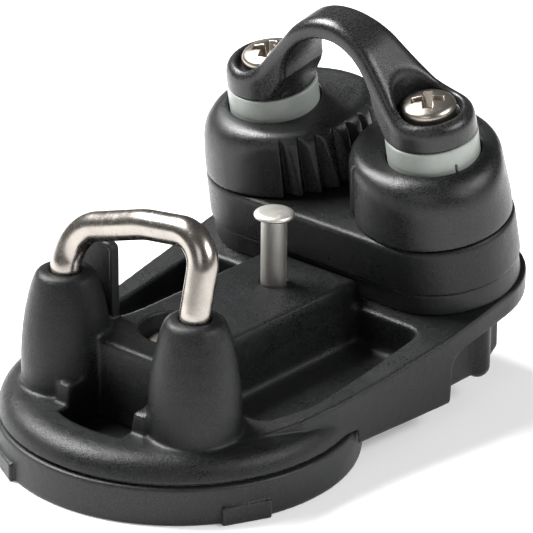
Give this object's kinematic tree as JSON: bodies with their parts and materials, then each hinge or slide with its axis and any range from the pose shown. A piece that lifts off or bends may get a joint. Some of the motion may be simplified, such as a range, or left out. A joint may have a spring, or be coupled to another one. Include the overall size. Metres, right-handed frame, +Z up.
{
  "type": "cam cleat",
  "caption": "Swivelling cam cleat: two sprung toothed cams under an arched strap on a tilted platform, with a wire rope fairlead and a lock pin, turning on a round deck base.",
  "frame": {"origin": "centre of the base ring's underside, on the swivel axis", "axes": "+X along the arm from the swivel axis to the cleat, +Y to the left-hand cam, +Z up, away from the deck"},
  "size_m": [0.1003, 0.067, 0.0708],
  "materials": {
    "base_plastic": "grained black glass-filled nylon",
    "arm_plastic": "grained black glass-filled nylon",
    "cam_plastic": "satin black fibre-filled plastic",
    "strap_plastic": "satin black nylon",
    "collar_plastic": "satin pale grey acetal",
    "bush_plastic": "natural white acetal",
    "stainless": "satin stainless steel",
    "polished_stainless": "polished stainless steel",
    "spring_steel": "drawn stainless spring wire"
  },
  "bodies": {
    "base": {"base_ring": "base_plastic", "glide_ring": "bush_plastic", "pivot_washer": "stainless", "pivot_bolt": "stainless", "pivot_nut": "stainless"},
    "arm": {"swivel_arm": "arm_plastic", "pivot_bush": "bush_plastic", "u_bolt": "polished_stainless", "u_bolt_nuts": "stainless", "wedge_plate": "base_plastic", "cleat_base": "arm_plastic", "cam_bushes": "collar_plastic", "strap": "strap_plastic", "cleat_screws": "stainless", "cleat_washers": "stainless", "cleat_nuts": "stainless", "spring_right": "spring_steel", "spring_left": "spring_steel"},
    "right_cam": {"cam_right": "cam_plastic"},
    "left_cam": {"cam_left": "cam_plastic"},
    "pin": {"lock_pin": "polished_stainless"}
  },
  "joints": [
    {"name": "swivel", "type": "hinge", "parent": "base", "child": "arm", "pos_m": [0, 0, 0.0122], "axis": [0, 0, 1], "continuous": true},
    {"name": "right_cam_turn", "type": "hinge", "parent": "arm", "child": "right_cam", "pos_m": [0.04886, -0.019, 0.04091], "axis": [-0.198, 0, 0.9802], "range_deg": [-38, 0], "stiffness_Nm_per_rad": 0.02, "springref_deg": 20.05},
    {"name": "left_cam_turn", "type": "hinge", "parent": "arm", "child": "left_cam", "pos_m": [0.04886, 0.019, 0.04091], "axis": [-0.198, 0, 0.9802], "range_deg": [0, 38], "stiffness_Nm_per_rad": 0.02, "springref_deg": -20.05},
    {"name": "pin_slide", "type": "slide", "parent": "arm", "child": "pin", "axis": [0, 0, 1], "range_m": [-0.007, 0]}
  ]
}
